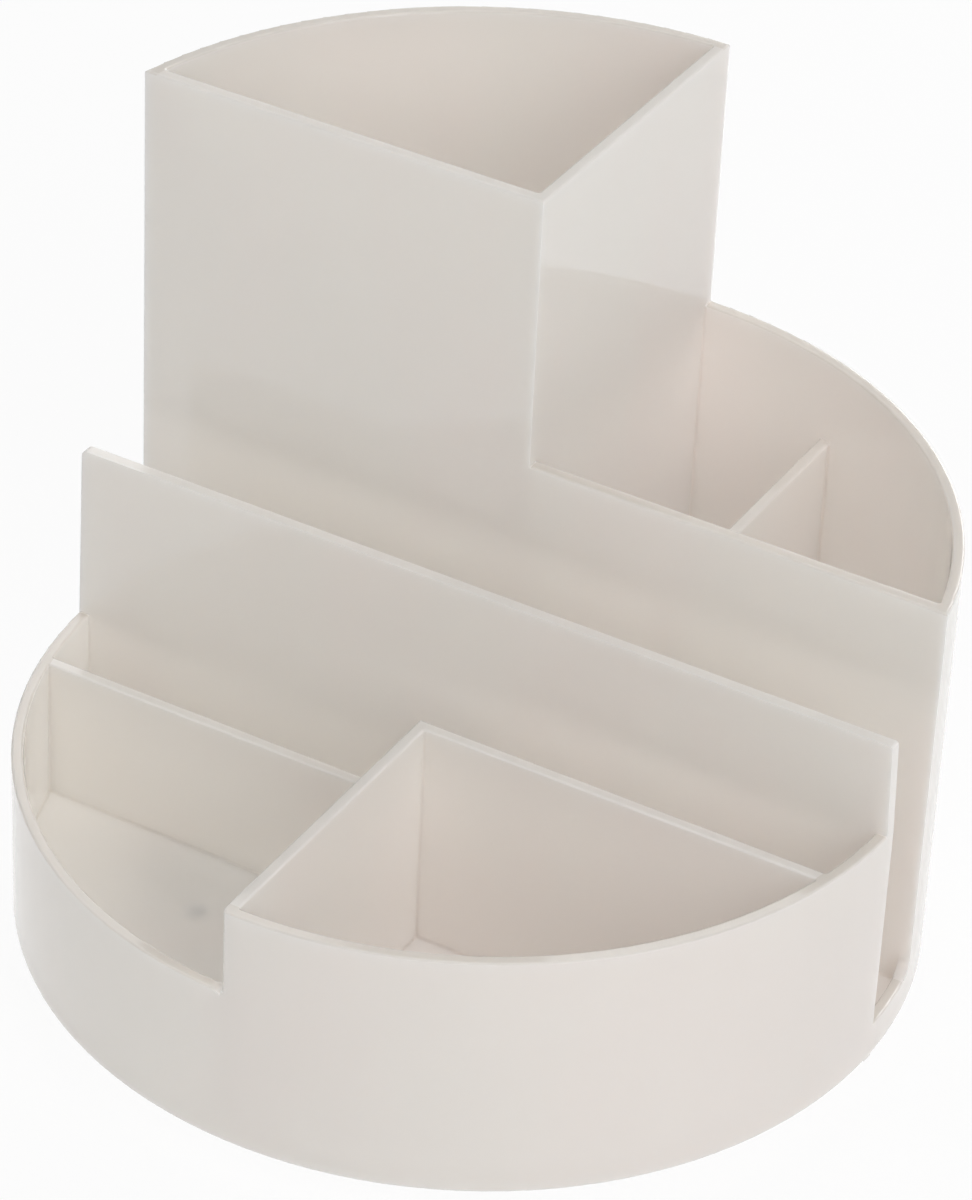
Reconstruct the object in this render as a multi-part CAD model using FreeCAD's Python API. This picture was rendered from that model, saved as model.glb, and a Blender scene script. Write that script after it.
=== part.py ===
import FreeCAD, Part
import os
from math import cos, pi, sin

# Rotating desk organizer: a one-piece moulded caddy with seven open compartments, carried by a
# low ball-bearing turntable on four rubber feet. Millimetres. +Z is up and +Y points to the back,
# where the tall cup stands. The origin is on the turning axis, on the desk under the feet.

Vector = FreeCAD.Vector
Z_AXIS = Vector(0, 0, 1)

# --- Caddy, plan ---
body_radius = 70.0           # outside of the round wall
outer_wall = 1.8             # round wall
tall_wall = 2.0              # chord wall behind the note slot
divider_wall = 1.85          # every other inner wall
tall_wall_front = 13.15      # Y of the front face of the tall chord wall
slot_width = 14.4            # clear width of the note slot
tray_width = 12.5            # clear width of the long tray
cup_wall_right = -0.45       # X of the right face of the wall between the cup and the mid bin
mid_bin_width = 23.45        # clear width of the mid bin
front_divider_left = -1.0    # X of the left face of the wall between the two front trays

# --- Caddy, heights above its own bottom edge ---
cup_height = 116.5
bin_height = 71.1
bin_divider_height = 57.1
slot_wall_height = 57.7
left_rim_height = 27.5
right_rim_height = 42.0
slot_lip_height = 6.0
floor_thickness = 2.0

# --- Caddy, edges ---
corner_fillet = 0.4          # inside the compartments, between walls and along the floor
rim_fillet = 0.35            # along the top edges of all walls
bottom_fillet = 0.5          # outer bottom edge
slot_fillet = 2.6            # where the slot's lip runs up into the tall wall
slot_wall_left_corner = 0.9  # top corners of the slot's front wall
slot_wall_right_corner = 0.45
slot_wall_taper = 0.6        # how far each end of that wall leans in at its top
step_corner = 1.1            # upright outer corner of the step in the front rim
step_dip_width = 1.8         # the low rim's end falls away towards the foot of the step
step_dip_depth = 1.0

# --- Turntable, stack from the desk up ---
foot_drop = 1.5              # how far the feet stand out of the base
base_thickness = 3.2
race_gap = 1.4               # between the two plates
top_thickness = 3.6
floor_recess = 1.2           # depth of the caddy's hollow underside

# --- Turntable, plan ---
foot_rim_width = 2.6         # width of the ring that the caddy's underside leaves at its edge
base_inset = 18.0            # from the caddy's edge in to the base's edge
base_rim_wall = 1.6
base_rim_height = 2.8        # above the base's race face
dust_gap = 1.1               # between the base's rim and the upper plate's edge
race_inset = 18.0            # from the base's edge in to the centre line of the race
ball_radius = 2.0
ball_count = 16
race_clearance = 0.12        # ball to groove
cage_half_width = 4.0
cage_gap = 0.2               # cage to each plate
pocket_clearance = 0.12      # ball to cage pocket, on the radius
plate_edge = 0.4             # chamfer on the plates' outer edges

# --- Pivot ---
rivet_radius = 2.5
rivet_head_overhang = 2.1    # of the head beyond the shank
rivet_head_height = 0.6
rivet_tail_overhang = 1.3
rivet_tail_height = 0.6
sleeve_wall = 1.0
sleeve_clearance = 0.06      # sleeve to the upper plate's bore, on the radius
part_clearance = 0.05        # rivet in sleeve and base, screw in plate and boss, on the radius
washer_thickness = 0.5
washer_overhang = 2.25       # of the thrust washer beyond the sleeve
washer_gap = 0.1             # running gap, upper plate to thrust washer
head_gap = 0.4               # rivet's head to the caddy's floor above it
tail_washer_thickness = 0.6
tail_washer_overhang = 3.0   # beyond the rivet's shank
tail_gap = 0.2               # rivet's tail to the base's underside
pivot_pocket_clearance = 0.6 # around both washers

# --- Plate screws ---
screw_count = 4
screw_cage_gap = 2.2         # from the cage's edge to the screws' heads
screw_radius = 1.45
screw_head_radius = 2.8
screw_head_height = 1.7
screw_base_gap = 0.5         # from the head down to the base
screw_tip_skin = 0.8         # floor left over the tip of each screw's hole
tip_gap = 0.2                # from the screw's tip to the end of its hole
boss_wall = 1.8
boss_height = 1.3
boss_clearance = 0.2
screw_head_edge = 0.5        # rounding of the head
screw_tip_edge = 0.4         # chamfer of the tip
recess_depth = 0.8           # cross recess in the head
recess_span = 3.0
recess_width = 0.7
access_clearance = 0.8       # around a head, of the base's hole to reach the screws one at a time

# --- Feet ---
foot_count = 4
foot_margin = 4.0            # from the base's edge in to each foot
foot_radius = 6.0
foot_socket_depth = 1.0
foot_clearance = 0.15
foot_edge = 0.4

# --- Heights worked out from the stack ---
base_bottom = foot_drop
base_top = base_bottom + base_thickness
top_bottom = base_top + race_gap
top_top = top_bottom + top_thickness
body_bottom = top_top - floor_recess
floor_top = top_top + floor_thickness
wall_foot = body_bottom + 2 * bottom_fillet
ball_centre = base_top + race_gap / 2
head_pocket_bottom = top_top - head_gap - rivet_head_height - washer_thickness - washer_gap
sleeve_top = head_pocket_bottom + washer_gap
tail_washer_bottom = base_bottom + tail_gap + rivet_tail_height
tail_pocket_top = tail_washer_bottom + tail_washer_thickness
screw_seat = base_top + screw_base_gap + screw_head_height

# --- Plan worked out from the driving dimensions ---
inner_radius = body_radius - outer_wall
slot_wall_back = tall_wall_front - slot_width
slot_wall_front = slot_wall_back - divider_wall
tray_wall_back = slot_wall_front - tray_width
tray_wall_front = tray_wall_back - divider_wall
bin_front = tall_wall_front + tall_wall
cup_wall_left = cup_wall_right - divider_wall
bin_divider_left = cup_wall_right + mid_bin_width
bin_divider_right = bin_divider_left + divider_wall
front_divider_right = front_divider_left + divider_wall
base_radius = body_radius - base_inset
top_radius = base_radius - base_rim_wall - dust_gap
race_radius = base_radius - race_inset
screw_circle = race_radius + cage_half_width + screw_cage_gap + screw_head_radius
foot_circle = base_radius - foot_margin - foot_radius
rivet_hole_radius = rivet_radius + part_clearance
sleeve_radius = rivet_hole_radius + sleeve_wall
washer_radius = sleeve_radius + washer_overhang
tail_washer_radius = rivet_radius + tail_washer_overhang
screw_hole_radius = screw_radius + part_clearance
boss_radius = screw_hole_radius + boss_wall
far = 2 * body_radius        # beyond the caddy on every side
tolerance = 1e-4             # when picking edges by their place


def ring_angles(count, start):
    """Evenly spaced angles in radians, the first at start."""
    return [start + 2 * pi * k / count for k in range(count)]


screw_angles = ring_angles(screw_count, pi / screw_count)
foot_angles = ring_angles(foot_count, pi / foot_count)
ball_angles = ring_angles(ball_count, 0)


def cylinder(radius, low, high, x=0.0, y=0.0):
    return Part.makeCylinder(radius, high - low, Vector(x, y, low), Z_AXIS)


def block(x0, x1, y0, y1, low, high):
    return Part.makeBox(x1 - x0, y1 - y0, high - low, Vector(x0, y0, low))


def on_circle(radius, angle):
    return radius * cos(angle), radius * sin(angle)


def level(height):
    """Height above the caddy's bottom edge, as a height above the desk."""
    return body_bottom + height


def is_level(edge, height):
    box = edge.BoundBox
    return abs(box.ZMin - height) < tolerance and abs(box.ZMax - height) < tolerance


def level_edges(solid, height):
    return [edge for edge in solid.Edges if is_level(edge, height)]


def is_upright(edge):
    box = edge.BoundBox
    return box.ZLength > rim_fillet and box.XLength < tolerance and box.YLength < tolerance


def round_top(solid, top, keep_sharp=()):
    """Rounds a raised part's top edges, but for straight ones at the given X or Y."""
    def is_sharp(edge):
        box = edge.BoundBox
        along_y = box.XLength < tolerance
        along_x = box.YLength < tolerance
        return any(
            (along_y and abs(box.XMin - value) < tolerance)
            or (along_x and abs(box.YMin - value) < tolerance)
            for value in keep_sharp
        )

    return solid.makeFillet(rim_fillet, [edge for edge in level_edges(solid, top) if not is_sharp(edge)])


def raised_part(x0, x1, y0, y1, low, top):
    """The part of the full round between four planes and two heights."""
    return cylinder(body_radius, low, top).common(block(x0, x1, y0, y1, low, top))


def inside_part(x0, x1, y0, y1, low, top):
    """The part of the round inside between four planes and two heights, its upright corners
    rounded."""
    space = cylinder(inner_radius, low, top).common(block(x0, x1, y0, y1, low, top))
    return space.makeFillet(corner_fillet, [edge for edge in space.Edges if is_upright(edge)])


def compartment(x0, x1, y0, y1, top):
    """The hollow of a compartment from the floor up, rounded in its corners and along the floor."""
    space = inside_part(x0, x1, y0, y1, floor_top, top)
    return space.makeFillet(corner_fillet, level_edges(space, floor_top))


def mouth(x0, x1, y0, y1, height, zone=(-far, far, -far, far)):
    """What rounds the top edge of the walls of one height around a compartment: the hollow,
    flaring outwards over its last stretch. zone says which walls have that height."""
    top = level(height)
    low = top - 2 * rim_fillet
    hollow = inside_part(x0, x1, y0, y1, low, top)
    slab = block(-far, far, -far, far, low, top)
    slab_side = 2 * far
    plate = slab.cut(hollow)
    rim = [
        edge for edge in level_edges(plate, top)
        if edge.BoundBox.DiagonalLength < slab_side - tolerance
    ]
    flared = slab.cut(plate.makeFillet(rim_fillet, rim))
    return flared.common(block(*zone, low, top))


def slot_wall():
    """The slot's front wall: flush with the round up to each rim, then with ends that lean in
    towards rounded top corners."""
    top = level(slot_wall_height)
    slab = block(-far, far, slot_wall_front, slot_wall_back, body_bottom, top)
    ends = []
    for x0, x1, rim_height in ((-far, 0, left_rim_height), (0, far, right_rim_height)):
        rim = level(rim_height)
        lean = Part.makeCone(body_radius, body_radius - slot_wall_taper, top - rim, Vector(0, 0, rim))
        side = cylinder(body_radius, body_bottom, rim).fuse(lean)
        ends.append(side.common(block(x0, x1, -far, far, body_bottom, top)))
    wall = slab.common(ends[0].fuse(ends[1])).removeSplitter()
    left = [edge for edge in level_edges(wall, top) if edge.BoundBox.XMax < -inner_radius]
    wall = wall.makeFillet(slot_wall_left_corner, left)
    right = [edge for edge in level_edges(wall, top) if edge.BoundBox.XMin > inner_radius]
    return wall.makeFillet(slot_wall_right_corner, right)


def slot_end_webs():
    """Hollow corner webs at both ends of the slot, between its lip and the tall wall."""
    low = level(slot_lip_height) - rim_fillet
    high = level(slot_lip_height) + slot_fillet
    start = tall_wall_front - slot_fillet
    web = block(-far, far, start, tall_wall_front, low, high)
    scoop = Part.makeCylinder(slot_fillet, 2 * far, Vector(-far, start, high), Vector(1, 0, 0))
    ring = cylinder(body_radius, low, high).cut(cylinder(inner_radius, low, high))
    return web.cut(scoop).common(ring)


def left_rim_part():
    """The low front left, its rim dipping where it meets the step."""
    top = level(left_rim_height)
    part = raised_part(-far, front_divider_left, -far, slot_wall_front, wall_foot, top)
    part = round_top(part, top, (front_divider_left, slot_wall_front))
    dip_radius = (step_dip_width ** 2 + step_dip_depth ** 2) / (2 * step_dip_depth)
    start = front_divider_left - step_dip_width
    end = block(start, front_divider_left, -far, -inner_radius + outer_wall, top - step_dip_depth, top)
    crown = Part.makeCylinder(dip_radius, far, Vector(start, -far, top - dip_radius), Vector(0, 1, 0))
    return part.cut(end.cut(crown))


def right_rim_part():
    """The high front right, its outer corner at the step rounded above the low rim."""
    middle = level(left_rim_height)
    top = level(right_rim_height)
    lower = raised_part(front_divider_left, far, -far, slot_wall_front, wall_foot, middle)
    upper = raised_part(front_divider_left, far, -far, slot_wall_front, middle, top)
    corner = [
        edge for edge in upper.Edges
        if is_upright(edge)
        and edge.BoundBox.XMin < front_divider_right
        and edge.BoundBox.YMin < tray_wall_front
    ]
    upper = upper.makeFillet(step_corner, corner)
    return lower.fuse(round_top(upper, top, (slot_wall_front,)))


def shape_underside(body):
    """Hollows the underside inside its foot rim, and adds the blind bosses for the screws."""
    body = body.cut(cylinder(body_radius - foot_rim_width, body_bottom, top_top))
    boss_bottom = top_top - boss_height
    bosses = []
    holes = []
    for angle in screw_angles:
        x, y = on_circle(screw_circle, angle)
        bosses.append(cylinder(boss_radius, boss_bottom, top_top + floor_thickness / 2, x, y))
        holes.append(cylinder(screw_hole_radius, boss_bottom, floor_top - screw_tip_skin, x, y))
    return body.fuse(bosses).cut(holes)


def make_walls():
    """Everything above the moulding's floor disc, at five rim heights, before hollowing."""
    cup_top = level(cup_height)
    bin_top = level(bin_height)
    cup_part = raised_part(-far, cup_wall_right, tall_wall_front, far, wall_foot, cup_top)
    bin_part = raised_part(cup_wall_left, far, tall_wall_front, far, wall_foot, bin_top)
    return [
        round_top(cup_part, cup_top),
        round_top(bin_part, bin_top),
        left_rim_part(),
        right_rim_part(),
        slot_wall(),
        slot_end_webs(),
    ]


def make_caddy_body():
    """The moulding: round floor and lip, walls at five rim heights, seven compartments."""
    lip_top = level(slot_lip_height)
    divider_top = level(bin_divider_height)
    over = level(cup_height) + far
    inside = cylinder(inner_radius, body_bottom, over)
    cup = (-far, cup_wall_left, bin_front, far)
    both_bins = (cup_wall_right, far, bin_front, far)
    mid_bin = (cup_wall_right, bin_divider_left, bin_front, far)
    right_bin = (bin_divider_right, far, bin_front, far)
    slot = (-far, far, slot_wall_back, tall_wall_front)
    long_tray = (-far, far, tray_wall_back, slot_wall_front)
    left_tray = (-far, front_divider_left, -far, tray_wall_front)
    right_tray = (front_divider_right, far, -far, tray_wall_front)
    hollows = [
        compartment(*cup, over),
        compartment(*mid_bin, divider_top),
        compartment(*right_bin, divider_top),
        inside_part(*both_bins, divider_top, over),
        compartment(*slot, over),
        compartment(*long_tray, over),
        compartment(*left_tray, over),
        compartment(*right_tray, over),
    ]
    right_of_cup = (cup_wall_right, far, -far, far)
    divider_left_side = (bin_divider_left - corner_fillet, bin_divider_right, bin_front, far)
    divider_right_side = (bin_divider_left, bin_divider_right + corner_fillet, bin_front, far)
    lip_in_front_of_web = (-far, far, slot_wall_back, tall_wall_front - slot_fillet)
    left_of_step = (-far, front_divider_left, -far, slot_wall_front)
    right_of_step = (front_divider_left, far, -far, slot_wall_front)
    mouths = [
        mouth(*cup, cup_height),
        mouth(*both_bins, bin_height, right_of_cup),
        mouth(*mid_bin, bin_divider_height, divider_left_side).common(inside),
        mouth(*right_bin, bin_divider_height, divider_right_side).common(inside),
        mouth(*slot, slot_lip_height, lip_in_front_of_web),
        mouth(*long_tray, left_rim_height, left_of_step),
        mouth(*long_tray, right_rim_height, right_of_step),
        mouth(*left_tray, left_rim_height, left_of_step),
        mouth(*right_tray, right_rim_height),
    ]
    disc = cylinder(body_radius, body_bottom, lip_top)
    disc = disc.makeFillet(bottom_fillet, level_edges(disc, body_bottom))
    body = round_top(disc, lip_top).fuse(make_walls()).removeSplitter()
    return shape_underside(body.cut(hollows + mouths)).removeSplitter()


def race_groove():
    return Part.makeTorus(race_radius, ball_radius + race_clearance, Vector(0, 0, ball_centre))


def chamfered_disc(radius, low, high):
    disc = cylinder(radius, low, high)
    return disc.makeChamfer(plate_edge, level_edges(disc, low) + level_edges(disc, high))


def make_turntable_top():
    """Upper race plate: bored for the sleeve, pocketed for the rivet's head and the bosses."""
    plate = chamfered_disc(top_radius, top_bottom, top_top)
    cuts = [
        race_groove(),
        cylinder(sleeve_radius + sleeve_clearance, top_bottom, top_top),
        cylinder(washer_radius + pivot_pocket_clearance, head_pocket_bottom, top_top),
    ]
    boss_pocket_bottom = top_top - boss_height - boss_clearance
    for angle in screw_angles:
        x, y = on_circle(screw_circle, angle)
        cuts.append(cylinder(screw_hole_radius, top_bottom, top_top, x, y))
        cuts.append(cylinder(screw_head_radius + boss_clearance, top_bottom, screw_seat, x, y))
        cuts.append(cylinder(boss_radius + boss_clearance, boss_pocket_bottom, top_top, x, y))
    return plate.cut(cuts)


def make_turntable_base():
    """Lower race plate: a disc with a raised dust rim, foot sockets and one access hole."""
    rim_top = base_top + base_rim_height
    disc = chamfered_disc(base_radius, base_bottom, rim_top)
    disc = disc.cut(cylinder(base_radius - base_rim_wall, base_top, rim_top))
    cuts = [
        race_groove(),
        cylinder(rivet_hole_radius, base_bottom, base_top),
        cylinder(tail_washer_radius + pivot_pocket_clearance, base_bottom, tail_pocket_top),
        cylinder(screw_head_radius + access_clearance, base_bottom, base_top, screw_circle, 0),
    ]
    for angle in foot_angles:
        x, y = on_circle(foot_circle, angle)
        socket_top = base_bottom + foot_socket_depth
        cuts.append(cylinder(foot_radius + foot_clearance, base_bottom, socket_top, x, y))
    return disc.cut(cuts)


def make_ball_cage():
    """Flat ring between the plates, with one round pocket for each ball."""
    low = base_top + cage_gap
    high = top_bottom - cage_gap
    ring = cylinder(race_radius + cage_half_width, low, high)
    ring = ring.cut(cylinder(race_radius - cage_half_width, low, high))
    pockets = []
    for angle in ball_angles:
        x, y = on_circle(race_radius, angle)
        pockets.append(cylinder(ball_radius + pocket_clearance, low, high, x, y))
    return ring.cut(pockets)


def make_ball(angle):
    x, y = on_circle(race_radius, angle)
    return Part.makeSphere(ball_radius, Vector(x, y, ball_centre))


def make_ring(radius, low, high):
    """Sleeve or washer around the rivet's shank."""
    return cylinder(radius, low, high).cut(cylinder(rivet_hole_radius, low, high))


def make_pivot_rivet():
    """Headed rivet: domed head above the thrust washer, tail clinched under the base."""
    head_bottom = sleeve_top + washer_thickness
    head_top = head_bottom + rivet_head_height
    head = cylinder(rivet_radius + rivet_head_overhang, head_bottom, head_top)
    head = head.makeFillet(rivet_head_height * 2 / 3, level_edges(head, head_top))
    tail_bottom = tail_washer_bottom - rivet_tail_height
    tail = cylinder(rivet_radius + rivet_tail_overhang, tail_bottom, tail_washer_bottom)
    tail = tail.makeFillet(rivet_tail_height / 2, level_edges(tail, tail_bottom))
    shank = cylinder(rivet_radius, tail_bottom + rivet_tail_height / 2, head_bottom + rivet_head_height / 2)
    return shank.fuse([head, tail]).removeSplitter()


def make_plate_screw(angle):
    """Pan-head screw, head down, with a cross recess. Its thread is a plain cylinder."""
    x, y = on_circle(screw_circle, angle)
    head_bottom = screw_seat - screw_head_height
    tip = floor_top - screw_tip_skin - tip_gap
    head = cylinder(screw_head_radius, head_bottom, screw_seat, x, y)
    head = head.makeFillet(screw_head_edge, level_edges(head, head_bottom))
    shank = cylinder(screw_radius, screw_seat, tip, x, y)
    shank = shank.makeChamfer(screw_tip_edge, level_edges(shank, tip))
    long = recess_span / 2
    short = recess_width / 2
    recess_top = head_bottom + recess_depth
    cross = [
        block(x - long, x + long, y - short, y + short, head_bottom, recess_top),
        block(x - short, x + short, y - long, y + long, head_bottom, recess_top),
    ]
    return head.fuse(shank).cut(cross)


def make_rubber_foot(angle):
    x, y = on_circle(foot_circle, angle)
    foot = cylinder(foot_radius, 0, base_bottom + foot_socket_depth, x, y)
    return foot.makeFillet(foot_edge, level_edges(foot, 0))


def make_pieces():
    """Every piece by its node's name."""
    pieces = {
        "caddy_body": make_caddy_body(),
        "turntable_top": make_turntable_top(),
        "turntable_base": make_turntable_base(),
        "ball_cage": make_ball_cage(),
        "pivot_rivet": make_pivot_rivet(),
        "pivot_sleeve": make_ring(sleeve_radius, base_top, sleeve_top),
        "thrust_washer": make_ring(washer_radius, sleeve_top, sleeve_top + washer_thickness),
        "rivet_washer": make_ring(tail_washer_radius, tail_washer_bottom, tail_pocket_top),
    }
    for number, angle in enumerate(ball_angles, 1):
        pieces[f"bearing_ball_{number:02d}"] = make_ball(angle)
    for number, angle in enumerate(screw_angles, 1):
        pieces[f"plate_screw_{number}"] = make_plate_screw(angle)
    for number, angle in enumerate(foot_angles, 1):
        pieces[f"rubber_foot_{number}"] = make_rubber_foot(angle)
    return pieces


os.makedirs("parts", exist_ok=True)
for name, piece in make_pieces().items():
    solids = len(piece.Solids)
    if solids != 1 or not piece.isValid():
        raise ValueError(f"{name}: {solids} solids, valid {piece.isValid()}")
    piece.Solids[0].exportStep(f"parts/{name}.step")
    print(f"{name}: {piece.Volume:.1f} mm3")
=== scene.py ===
from math import cos, pi, radians, sin

import bpy
from mathutils import Matrix, Vector

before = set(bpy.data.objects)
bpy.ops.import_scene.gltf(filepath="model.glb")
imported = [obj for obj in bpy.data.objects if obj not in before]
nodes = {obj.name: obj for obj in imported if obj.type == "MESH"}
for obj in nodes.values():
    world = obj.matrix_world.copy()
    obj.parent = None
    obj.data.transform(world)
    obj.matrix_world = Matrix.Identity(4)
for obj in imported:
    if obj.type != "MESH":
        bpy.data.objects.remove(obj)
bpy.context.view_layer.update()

# --- Viewpoint ---
# A long lens looks from the front right and well above the rims, so that all seven compartments
# show at once. It leans over by almost three degrees.
lens_mm = 157.77
turn = 0.501                     # radians round to the right
rise = 0.607                     # radians above the horizon
lean = 0.049                     # radians, to the right
aim = Vector((0, 0, 0.0585))
distance = 0.78239
slide_right = 0.000656           # from the aim, along the view's own right and up
slide_up = 0.003931

camera = bpy.data.objects.new("view_camera", bpy.data.cameras.new("view_camera"))
bpy.context.scene.collection.objects.link(camera)
bpy.context.scene.camera = camera
camera.data.lens = lens_mm
upright = Matrix.Rotation(turn, 3, "Z") @ Matrix.Rotation(pi / 2 - rise, 3, "X")
turned = upright @ Matrix.Rotation(lean, 3, "Z")
place = aim + turned @ Vector((slide_right, slide_up, distance))
camera.matrix_world = Matrix.Translation(place) @ turned.to_4x4()

bpy.context.scene.view_settings.view_transform = "Standard"


# --- Desk, backdrop and lamps ---
# A plain pale sheet lies under the organizer and white surrounds it, as in a light tent. Wide soft
# lamps stand all round it, most of them low, and three throw no shadow, as bounced light.
class Socket:
    """A shader value. Python operators on it add the Math nodes of the same name."""

    def __init__(self, finish, socket):
        self.finish = finish
        self.socket = socket

    def math(self, operation, *values):
        return self.finish.node("ShaderNodeMath", {"operation": operation}, dict(enumerate(values)))

    def __add__(self, other):
        return self.math("ADD", self, other)

    def __radd__(self, other):
        return self.math("ADD", other, self)

    def __sub__(self, other):
        return self.math("SUBTRACT", self, other)

    def __rsub__(self, other):
        return self.math("SUBTRACT", other, self)

    def __mul__(self, other):
        return self.math("MULTIPLY", self, other)

    def __rmul__(self, other):
        return self.math("MULTIPLY", other, self)

    def __gt__(self, other):
        return self.math("GREATER_THAN", self, other)

    def __lt__(self, other):
        return self.math("LESS_THAN", self, other)

    def __abs__(self):
        return self.math("ABSOLUTE", self)

    def at_least(self, other):
        return self.math("MAXIMUM", self, other)

    def rising(self, low, high):
        """0 below low, 1 above high, and an S-curve between."""
        inputs = {0: self, 1: low, 2: high}
        return self.finish.node("ShaderNodeMapRange", {"interpolation_type": "SMOOTHSTEP"}, inputs)


class Finish:
    """A node material, or the world's nodes, being put together."""

    def __init__(self, owner):
        owner.use_nodes = True
        self.owner = owner
        self.tree = owner.node_tree
        self.tree.nodes.clear()

    def node(self, kind, settings, inputs, output=0):
        """Adds one node: its settings first, then its inputs' values or links. Returns an output."""
        made = self.tree.nodes.new(kind)
        for name, value in settings.items():
            setattr(made, name, value)
        for name, value in inputs.items():
            if isinstance(value, Socket):
                self.tree.links.new(value.socket, made.inputs[name])
            else:
                made.inputs[name].default_value = value
        return Socket(self, made.outputs[output])

    def mix_colour(self, first, second, mask):
        """first where mask is 0, second where it is 1."""
        return self.node("ShaderNodeMix", {"data_type": "RGBA"}, {0: mask, 6: first, 7: second}, 2)

    def place(self):
        """X, Y and Z on the piece itself, in metres."""
        point = self.node("ShaderNodeTexCoord", {}, {}, "Object")
        return [self.node("ShaderNodeSeparateXYZ", {}, {0: point}, axis) for axis in "XYZ"]

    def noise(self, size, detail=2.0, roughness=0.5, stretch=(1, 1, 1)):
        """Soft noise from 0 to 1, its spots about size metres across, longer along an axis whose
        stretch is below 1."""
        point = self.node("ShaderNodeTexCoord", {}, {}, "Object")
        scaled = self.node("ShaderNodeVectorMath", {"operation": "MULTIPLY"}, {0: point, 1: stretch})
        inputs = {"Vector": scaled, "Scale": 1 / size, "Detail": detail, "Roughness": roughness}
        return self.node("ShaderNodeTexNoise", {}, inputs)

    def bump(self, height, depth):
        """Dents and swellings, depth metres from a height of 0 to a height of 1."""
        return self.node("ShaderNodeBump", {}, {"Height": height, "Distance": depth, "Strength": 1.0})

    def surface(self, **inputs):
        """Ends the material in a Principled shader. Names are its sockets', with _ for a space."""
        named = {name.replace("_", " "): value for name, value in inputs.items()}
        self.end_in("ShaderNodeOutputMaterial", self.node("ShaderNodeBsdfPrincipled", {}, named))
        return self.owner

    def end_in(self, kind, shader):
        made = self.tree.nodes.new(kind)
        self.tree.links.new(shader.socket, made.inputs["Surface"])


def seen_directly(finish):
    """1 for what the lens sees straight, in a reflection or through a clear piece."""
    straight, mirrored, through = (
        finish.node("ShaderNodeLightPath", {}, {}, name)
        for name in ("Is Camera Ray", "Is Glossy Ray", "Is Transmission Ray")
    )
    return straight.at_least(mirrored).at_least(through)


white = (1.0, 1.0, 1.0, 1.0)
paper_colour = (0.98, 0.98, 0.98, 1.0)
paper_fibre = (0.96, 0.96, 0.96, 1.0)
paper_glow = 0.90                # how much of the sheet shows as plain white
desk_half = 6.0                  # from the middle of the sheet to its edge
desk_top = -0.00002              # just under the soles of the feet
world_strength = 0.01            # of the light that falls on the organizer from all round

desk_mesh = bpy.data.meshes.new("desk_sheet")
corners = [(x * desk_half, y * desk_half, desk_top) for x, y in ((-1, -1), (1, -1), (1, 1), (-1, 1))]
desk_mesh.from_pydata(corners, [], [(0, 1, 2, 3)])
desk = bpy.data.objects.new("desk_sheet", desk_mesh)
bpy.context.scene.collection.objects.link(desk)

paper = Finish(bpy.data.materials.new("white_paper"))
fibres = paper.noise(size=0.004, detail=3.0)
paper_tone = paper.mix_colour(paper_colour, paper_fibre, fibres)
matt = paper.node("ShaderNodeBsdfDiffuse", {}, {"Color": paper_tone})
glow = paper.node("ShaderNodeEmission", {}, {"Color": white, "Strength": 1.0})
shown = seen_directly(paper) * paper_glow
sheet = paper.node("ShaderNodeMixShader", {}, {0: shown, 1: matt, 2: glow})
paper.end_in("ShaderNodeOutputMaterial", sheet)
desk_mesh.materials.append(paper.owner)

tent = Finish(bpy.data.worlds.new("light_tent"))
bpy.context.scene.world = tent.owner
lit = tent.node("ShaderNodeBackground", {}, {"Color": white, "Strength": world_strength})
plain = tent.node("ShaderNodeBackground", {}, {"Color": white, "Strength": 1.0})
around = tent.node("ShaderNodeMixShader", {}, {0: seen_directly(tent), 1: lit, 2: plain})
tent.end_in("ShaderNodeOutputWorld", around)

lamps_aim = Vector((0, 0, 0.05))
lamp_distance = 1.7
lamps = {            # degrees round to the right, degrees up, metres across, watts, throws a shadow
    "key_right": (62, 26, 1.1, 7.3, True),
    "high_right": (50, 50, 1.1, 1.9, True),
    "front": (22, 34, 1.6, 5.0, True),
    "front_left": (-35, 30, 1.1, 1.3, True),
    "side_left": (-75, 25, 1.1, 3.2, True),
    "high_rear_left": (-140, 50, 1.1, 4.1, True),
    "rear": (180, 20, 1.1, 9.2, True),
    "fill_front": (-20, 30, 1.1, 3.8, False),
    "fill_far_right": (100, 30, 1.1, 6.5, False),
    "fill_rear": (180, 30, 1.1, 5.8, False),
}
for name, (round_by, up_by, width, power, throws_shadow) in lamps.items():
    light = bpy.data.lights.new(name, "AREA")
    light.shape = "DISK"
    light.size = width
    light.energy = power
    light.use_shadow = throws_shadow
    light.cycles.use_multiple_importance_sampling = throws_shadow
    lamp = bpy.data.objects.new(name, light)
    lamp.visible_glossy = throws_shadow
    bpy.context.scene.collection.objects.link(lamp)
    level = Vector((0, -cos(radians(up_by)), sin(radians(up_by))))
    towards = Matrix.Rotation(radians(round_by), 3, "Z") @ level
    lamp.location = lamps_aim + lamp_distance * towards
    lamp.rotation_euler = towards.to_track_quat("Z", "Y").to_euler()


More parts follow.
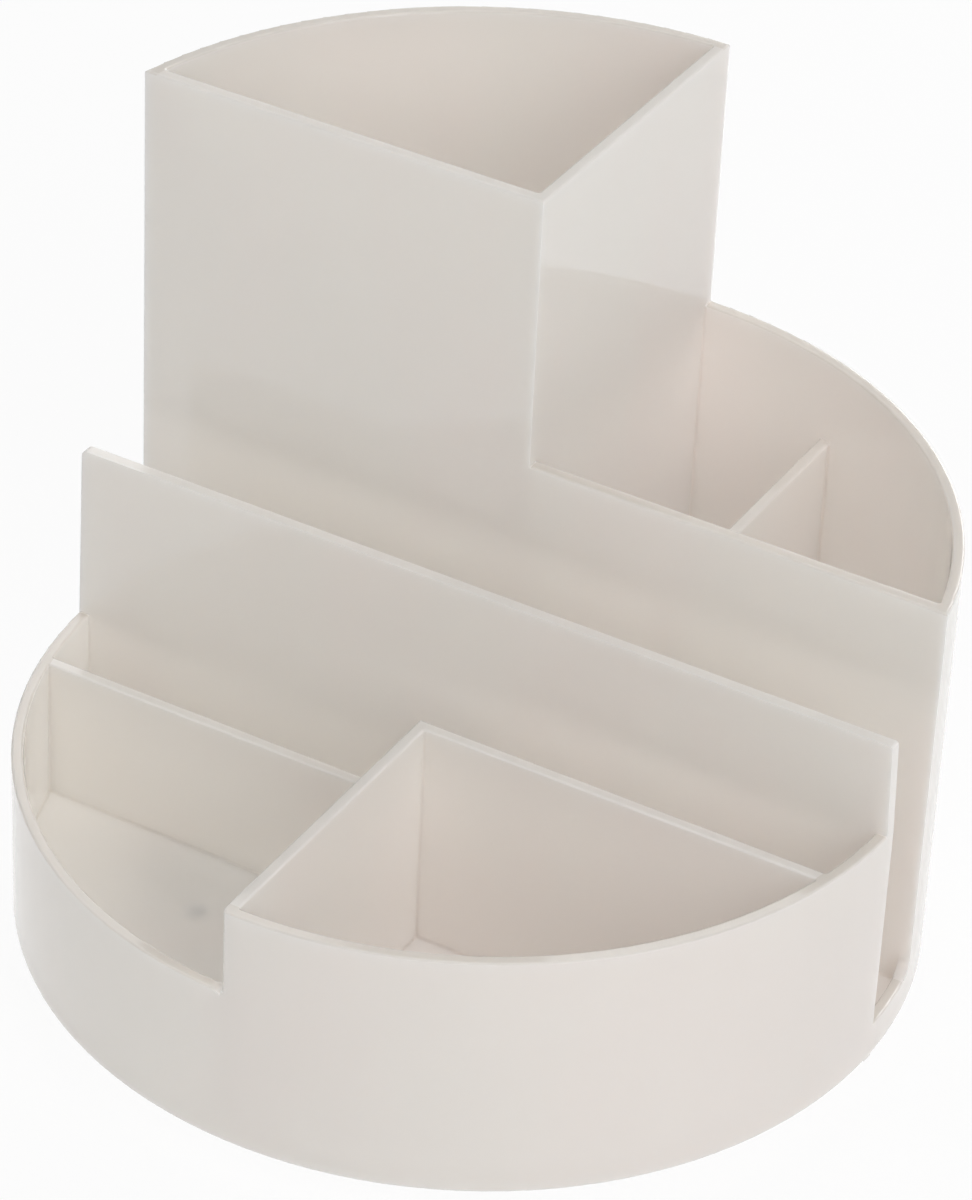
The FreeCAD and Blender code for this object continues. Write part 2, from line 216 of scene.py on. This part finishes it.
# --- Caddy ---
# One injection moulding in opaque, high-gloss, warm off-white polystyrene: a round floor with
# upright walls at five rim heights. Four screws from below hold it on the turntable. Handling has
# scuffed its rims, and a darker tone on their tops is painted shade, most on the bins and outer wall.
gloss_white = (0.800, 0.773, 0.735, 1.0)
gloss_warm = (0.809, 0.760, 0.727, 1.0)
# painted shade: the darker tone laid on the rims' tops
gloss_painted_shade = (0.695, 0.650, 0.598, 1.0)
rim_heights = {      # metres above the desk
    "cup": 0.1250, "bin": 0.0796, "divider": 0.0656, "slot": 0.0662,
    "right_tray": 0.0505, "left_tray": 0.0360, "lip": 0.0145,
}
rim_painted_shade = {         # how much painted shade darkens each wall's rim
    "cup": 0.45, "bin": 1.0, "divider": 0.6, "slot": 0.15,
    "right_tray": 0.20, "left_tray": 0.30, "lip": 0.10,
}
outer_painted_shade = 0.70    # more painted shade along the outer wall's rim
inner_radius = 0.0680            # just inside the outer wall
cup_end = -0.0002                # X, just right of the cup's wall
step_end = -0.0011               # X, just left of the wall where the front rim steps up
divider_left = 0.0228            # X, either side of the wall between the bins
divider_right = 0.0251
slot_wall_front = -0.0033        # Y, either side of the note slot's front wall
slot_front = -0.0010
slot_back = 0.0100               # Y, inside the slot, short of the tall wall
tall_wall_back = 0.0152          # Y, just behind the tall wall
floor_band = (0.0132, 0.0150)    # Z, where the floor's wear fades out up the walls
painted_shade_band = (0.0001, 0.0004)   # below a rim, where its painted shade fades
scuffed_band = (0.0002, 0.0012)  # below a rim, where its scuffs fade
moulded_roughness = 0.015
handled_roughness = 0.025        # more of it where hands have been
scuffed_roughness = 0.10         # and along the rims
floor_roughness = 0.05           # and on the floor
scratched_roughness = 0.12       # and in the floor's scratches
glow_depth = 0.003               # how far light goes into the plastic
wave_depth = 0.00003             # of the moulding's faint waves
long_wave_share = 0.60           # of that depth
short_wave_share = 0.12

gloss = Finish(bpy.data.materials.new("caddy_gloss_plastic"))
x, y, z = gloss.place()
inside = x * x + y * y < inner_radius ** 2
right_of_cup = x > cup_end
right_of_step = x > step_end
on_divider = (x > divider_left) * (x < divider_right) * (y > tall_wall_back) * inside
on_slot_wall = (y > slot_wall_front) * (y < slot_front)
in_slot = (y > slot_front) * (y < slot_back)
behind_slot = y > slot_back


def choose(mask, chosen, other):
    """chosen where mask is 1, other where it is 0."""
    return other + mask * (chosen - other)


def by_wall(value):
    """One value for each wall, by where a point lies in the plan."""
    back = choose(right_of_cup, value["bin"], value["cup"])
    back = choose(on_divider, value["divider"], back)
    front = choose(right_of_step, value["right_tray"], value["left_tray"])
    front = choose(on_slot_wall, value["slot"], front)
    front = choose(in_slot, value["lip"], front)
    return choose(behind_slot, back, front)


below_rim = abs(z - by_wall(rim_heights))
scuffed = 1 - below_rim.rising(*scuffed_band)
on_outside = (1 - inside) * (1 - on_slot_wall)
# Painted shade: rims' tops darkened wall by wall, most on the bins and the outer wall's rim.
painted_shade_amount = by_wall(rim_painted_shade) + on_outside * outer_painted_shade
painted_rim_shade = (1 - below_rim.rising(*painted_shade_band)) * painted_shade_amount
on_floor = (1 - z.rising(*floor_band)) * inside

flow = gloss.noise(size=0.045, detail=3.0, roughness=0.55, stretch=(1, 1, 0.5))
handled = gloss.noise(size=0.030, detail=4.0, roughness=0.6)
scuffs = gloss.noise(size=0.0006, detail=2.0, roughness=0.7, stretch=(1, 0.15, 1))
streaks = gloss.noise(size=0.0007, detail=3.0, roughness=0.6, stretch=(0.08, 1, 1))
scratches = streaks.rising(low=0.50, high=0.62)
long_waves = gloss.noise(size=0.028, detail=2.0, roughness=0.45)
short_waves = gloss.noise(size=0.009, detail=2.0, roughness=0.4)

waves = long_waves * long_wave_share + short_waves * short_wave_share
colour = gloss.mix_colour(gloss_white, gloss_warm, flow.rising(low=0.35, high=0.75))
# painted shade darkens the colour just below each rim
colour = gloss.mix_colour(colour, gloss_painted_shade, painted_rim_shade)
on_walls = moulded_roughness + handled.rising(low=0.45, high=0.80) * handled_roughness
on_rims = scuffed * scuffs * scuffed_roughness
on_floors = on_floor * (floor_roughness + scratches * scratched_roughness)
nodes["caddy_body"].data.materials[0] = gloss.surface(
    Base_Color=colour,
    Roughness=on_walls + on_rims + on_floors,
    IOR=1.59,
    Subsurface_Weight=1.0,
    Subsurface_Radius=(1.0, 1.0, 1.0),
    Subsurface_Scale=glow_depth,
    Normal=gloss.bump(waves, wave_depth),
)


# --- Turntable plates ---
# Two flat discs moulded in satin polystyrene, a shade greyer than the caddy, with the ball race
# between them. The lower one stands on the feet and the upper one turns with the caddy.
plate_grey = (0.560, 0.545, 0.515, 1.0)
plate_worn = (0.610, 0.597, 0.570, 1.0)
plate_roughness = 0.34
textured_roughness = 0.14        # more of it on the mould's fine texture
texture_depth = 0.00003

satin = Finish(bpy.data.materials.new("turntable_satin_plastic"))
cloud = satin.noise(size=0.020, detail=3.0)
texture = satin.noise(size=0.0005, detail=2.0, roughness=0.6)
plate_finish = satin.surface(
    Base_Color=satin.mix_colour(plate_grey, plate_worn, cloud.rising(low=0.4, high=0.8)),
    Roughness=plate_roughness + texture * textured_roughness,
    IOR=1.57,
    Normal=satin.bump(texture, texture_depth),
)
for name in ("turntable_base", "turntable_top"):
    nodes[name].data.materials[0] = plate_finish


# --- Ball cage ---
# A flat ring punched from natural acetal sheet. It floats between the plates and keeps the
# sixteen balls apart.
acetal_milky = (0.720, 0.700, 0.630, 1.0)
acetal_clear = (0.660, 0.640, 0.570, 1.0)
acetal_roughness = 0.30
clear_roughness = 0.12           # more of it in the clear patches
grain_depth = 0.00003

acetal = Finish(bpy.data.materials.new("cage_acetal"))
clear = acetal.noise(size=0.006, detail=3.0)
grain = acetal.noise(size=0.0008)
nodes["ball_cage"].data.materials[0] = acetal.surface(
    Base_Color=acetal.mix_colour(acetal_milky, acetal_clear, clear),
    Roughness=acetal_roughness + clear * clear_roughness,
    IOR=1.48,
    Normal=acetal.bump(grain, grain_depth),
)


# --- Bearing balls ---
# Sixteen 4 mm balls of polished chrome steel with a film of oil, loose in the cage's pockets.
# Rolling round the race has marked them with faint bands.
steel_bright = (0.640, 0.645, 0.650, 1.0)
steel_marked = (0.580, 0.580, 0.580, 1.0)
polished_roughness = 0.08
marked_roughness = 0.10          # more of it in the bands

steel = Finish(bpy.data.materials.new("bearing_ball_steel"))
bands = steel.noise(size=0.0007, detail=3.0, roughness=0.6, stretch=(1, 1, 6))
ball_finish = steel.surface(
    Base_Color=steel.mix_colour(steel_bright, steel_marked, bands),
    Metallic=1.0,
    Roughness=polished_roughness + bands * marked_roughness,
)
for name in nodes:
    if name.startswith("bearing_ball"):
        nodes[name].data.materials[0] = ball_finish


# --- Pivot ---
# A zinc-plated steel rivet clamps a steel sleeve and a washer to the base. A nylon washer under
# its head carries the lift when the caddy is picked up.
zinc_bright = (0.600, 0.605, 0.600, 1.0)
zinc_dull = (0.500, 0.500, 0.480, 1.0)
zinc_roughness = 0.26
spangled_roughness = 0.16        # more of it where the plating is dull
brush_depth = 0.00001
nylon_milky = (0.760, 0.750, 0.710, 1.0)
nylon_clear = (0.700, 0.690, 0.640, 1.0)
nylon_roughness = 0.38
rubbed_roughness = 0.10          # more of it in rubbed patches

zinc = Finish(bpy.data.materials.new("zinc_plated_steel"))
spangle = zinc.noise(size=0.0012, detail=3.0, roughness=0.6)
brush_marks = zinc.noise(size=0.0004, detail=2.0, roughness=0.6, stretch=(1, 1, 8))
zinc_finish = zinc.surface(
    Base_Color=zinc.mix_colour(zinc_bright, zinc_dull, spangle),
    Metallic=1.0,
    Roughness=zinc_roughness + spangle * spangled_roughness,
    Normal=zinc.bump(brush_marks, brush_depth),
)
for name in ("pivot_rivet", "pivot_sleeve", "rivet_washer"):
    nodes[name].data.materials[0] = zinc_finish

nylon = Finish(bpy.data.materials.new("slip_nylon"))
rubbed = nylon.noise(size=0.002)
nodes["thrust_washer"].data.materials[0] = nylon.surface(
    Base_Color=nylon.mix_colour(nylon_milky, nylon_clear, rubbed),
    Roughness=nylon_roughness + rubbed * rubbed_roughness,
    IOR=1.53,
)


# --- Plate screws ---
# Four pan-head screws of the same plated steel, with a cross recess. They go up through the
# upper plate into bosses under the caddy's floor.
for name in nodes:
    if name.startswith("plate_screw"):
        nodes[name].data.materials[0] = zinc_finish


# --- Feet ---
# Four moulded pads of dark grey rubber, pressed and glued into sockets under the base. Dust
# clings to them in patches.
rubber_dark = (0.035, 0.035, 0.037, 1.0)
rubber_dusty = (0.075, 0.074, 0.072, 1.0)
rubber_roughness = 0.62
dusty_roughness = 0.20           # more of it in the dusty patches
pore_depth = 0.00005

rubber = Finish(bpy.data.materials.new("foot_rubber"))
dust = rubber.noise(size=0.0025, detail=4.0, roughness=0.65)
pores = rubber.noise(size=0.0006, detail=3.0)
foot_finish = rubber.surface(
    Base_Color=rubber.mix_colour(rubber_dark, rubber_dusty, dust.rising(low=0.45, high=0.85)),
    Roughness=rubber_roughness + dust * dusty_roughness,
    IOR=1.52,
    Normal=rubber.bump(pores, pore_depth),
)
for name in nodes:
    if name.startswith("rubber_foot"):
        nodes[name].data.materials[0] = foot_finish
